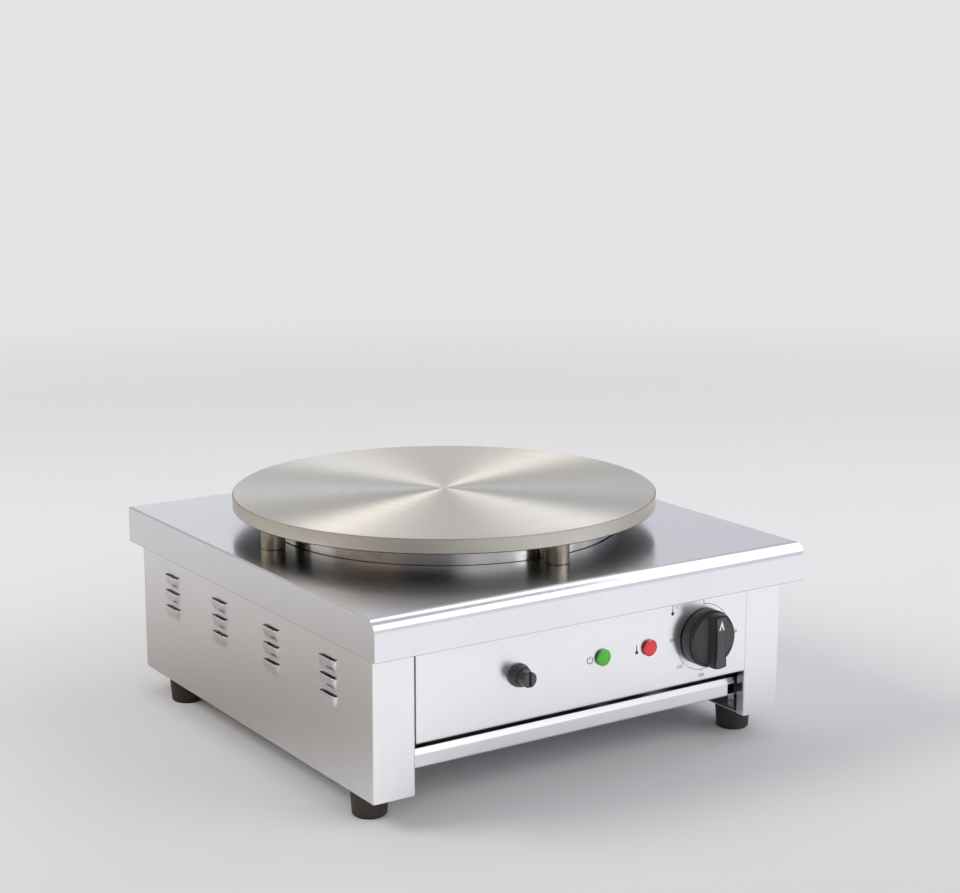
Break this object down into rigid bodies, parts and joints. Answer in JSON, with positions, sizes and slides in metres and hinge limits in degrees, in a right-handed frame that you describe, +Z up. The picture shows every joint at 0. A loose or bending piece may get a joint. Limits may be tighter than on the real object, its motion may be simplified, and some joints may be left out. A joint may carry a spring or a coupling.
{
  "type": "electric crepe maker",
  "caption": "Countertop electric crepe maker: a round turned griddle plate on posts over a folded stainless housing with louvred sides, a thermostat knob, signal lamps and a capped reset.",
  "frame": {"origin": "on the worktop, under the middle of the deck", "axes": "+X to the right seen from the front, +Y to the back, +Z up; the controls face -Y"},
  "size_m": [0.453, 0.4892, 0.2181],
  "materials": {
    "brushed_stainless": "brushed, satin",
    "zinc_plated_steel": "zinc plated",
    "turned_plate": "turned in concentric grooves, bare",
    "turned_posts": "turned",
    "polished_stainless": "polished",
    "element_sheath": "oxidised",
    "insulation": "pressed mineral fibre",
    "copper": "drawn",
    "black_plastic": "moulded, satin",
    "red_plastic": "moulded",
    "green_lens": "moulded, translucent",
    "red_lens": "moulded, translucent",
    "white_plastic": "moulded",
    "gland_nylon": "moulded",
    "foot_rubber": "moulded"
  },
  "bodies": {
    "housing": {"deck_cover": "brushed_stainless", "left_side_panel": "brushed_stainless", "right_side_panel": "brushed_stainless", "back_panel": "brushed_stainless", "control_panel": "brushed_stainless", "base_pan": "brushed_stainless", "left_pan_rail": "zinc_plated_steel", "right_pan_rail": "zinc_plated_steel", "front_stiffener": "zinc_plated_steel", "rear_stiffener": "zinc_plated_steel", "griddle_plate": "turned_plate", "plate_posts": "turned_posts", "plate_studs": "zinc_plated_steel", "plate_nuts": "zinc_plated_steel", "heater_pan": "polished_stainless", "element_inner": "element_sheath", "element_middle": "element_sheath", "element_outer": "element_sheath", "element_clamp": "zinc_plated_steel", "insulation_disc": "insulation", "pan_stud": "zinc_plated_steel", "pan_nut": "zinc_plated_steel", "thermostat_body": "zinc_plated_steel", "thermostat_screws": "zinc_plated_steel", "thermostat_bulb": "copper", "safety_thermostat": "zinc_plated_steel", "safety_bulb": "copper", "reset_collar": "black_plastic", "green_lamp_lens": "green_lens", "green_lamp_body": "white_plastic", "red_lamp_lens": "red_lens", "red_lamp_body": "white_plastic", "lamp_clips": "zinc_plated_steel", "terminal_block": "white_plastic", "cable_gland": "gland_nylon", "gland_dome_nut": "gland_nylon", "gland_locknut": "gland_nylon", "bonding_stud": "zinc_plated_steel", "bonding_nuts": "zinc_plated_steel", "front_left_foot": "foot_rubber", "front_right_foot": "foot_rubber", "rear_left_foot": "foot_rubber", "rear_right_foot": "foot_rubber", "foot_screws": "zinc_plated_steel", "foot_nuts": "zinc_plated_steel", "base_screws": "zinc_plated_steel", "back_screws": "zinc_plated_steel", "panel_screws": "zinc_plated_steel", "deck_studs": "zinc_plated_steel", "deck_nuts": "zinc_plated_steel"},
    "control_knob": {"knob": "black_plastic", "thermostat_spindle": "zinc_plated_steel"},
    "reset_cap": {"reset_cap": "black_plastic"},
    "reset_button": {"reset_button": "red_plastic", "reset_spring": "zinc_plated_steel"}
  },
  "joints": [
    {"name": "knob_turn", "type": "hinge", "parent": "housing", "child": "control_knob", "pos_m": [0.1269, -0.21765, 0.1095], "axis": [0, 1, 0], "range_deg": [0, 273]},
    {"name": "cap_draw", "type": "slide", "parent": "housing", "child": "reset_cap", "axis": [0, -1, 0], "range_m": [0, 0.03]},
    {"name": "reset_press", "type": "slide", "parent": "housing", "child": "reset_button", "axis": [0, 1, 0], "range_m": [0, 0.002], "stiffness_N_per_m": 300, "springref_m": -0.004, "deforming": ["reset_spring"]}
  ]
}
